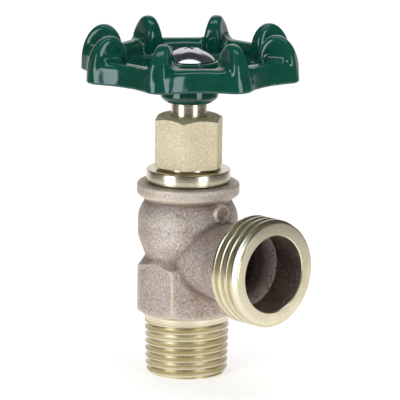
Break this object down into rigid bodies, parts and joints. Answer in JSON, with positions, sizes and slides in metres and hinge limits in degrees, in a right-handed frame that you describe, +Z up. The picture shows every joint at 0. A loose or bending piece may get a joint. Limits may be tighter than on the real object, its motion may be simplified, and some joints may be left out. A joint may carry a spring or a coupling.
{
  "type": "boiler drain valve",
  "caption": "Boiler drain valve with a pipe-thread inlet below, a hose-thread side outlet, a hexagonal packing nut and a scalloped handwheel with raised finger lobes.",
  "frame": {"origin": "centre of the inlet's lower end face, on the stem's axis", "axes": "+Z runs up the stem from the inlet to the handwheel, -Y points out of the hose outlet, and +X follows by the right-hand rule"},
  "size_m": [0.0554, 0.0592, 0.0877],
  "materials": {
    "cast_bronze": "sand cast, dull",
    "turned_brass": "machined",
    "fibre": "pressed fibre",
    "packing": "graphite cord",
    "seat_rubber": "moulded",
    "green_enamel": "gloss enamel",
    "plated_steel": "bright plated"
  },
  "bodies": {
    "valve": {"valve_body": "cast_bronze", "bonnet": "turned_brass", "bonnet_gasket": "fibre", "packing_nut": "turned_brass", "packing_ring": "packing"},
    "washer": {"seat_washer": "seat_rubber"},
    "spindle": {"stem": "turned_brass", "washer_screw": "turned_brass", "handwheel": "green_enamel", "handle_screw": "plated_steel"}
  },
  "joints": [
    {"name": "stem_lift", "type": "slide", "parent": "valve", "child": "washer", "axis": [0, 0, 1], "range_m": [0, 0.0053]},
    {"name": "wheel_turn", "type": "hinge", "parent": "washer", "child": "spindle", "pos_m": [0, 0, 0], "axis": [0, 0, 1], "range_deg": [0, 900]}
  ],
  "couplings": [
    {"joint": "stem_lift", "follows": "wheel_turn", "m_per_rad": 0.00033693}
  ]
}
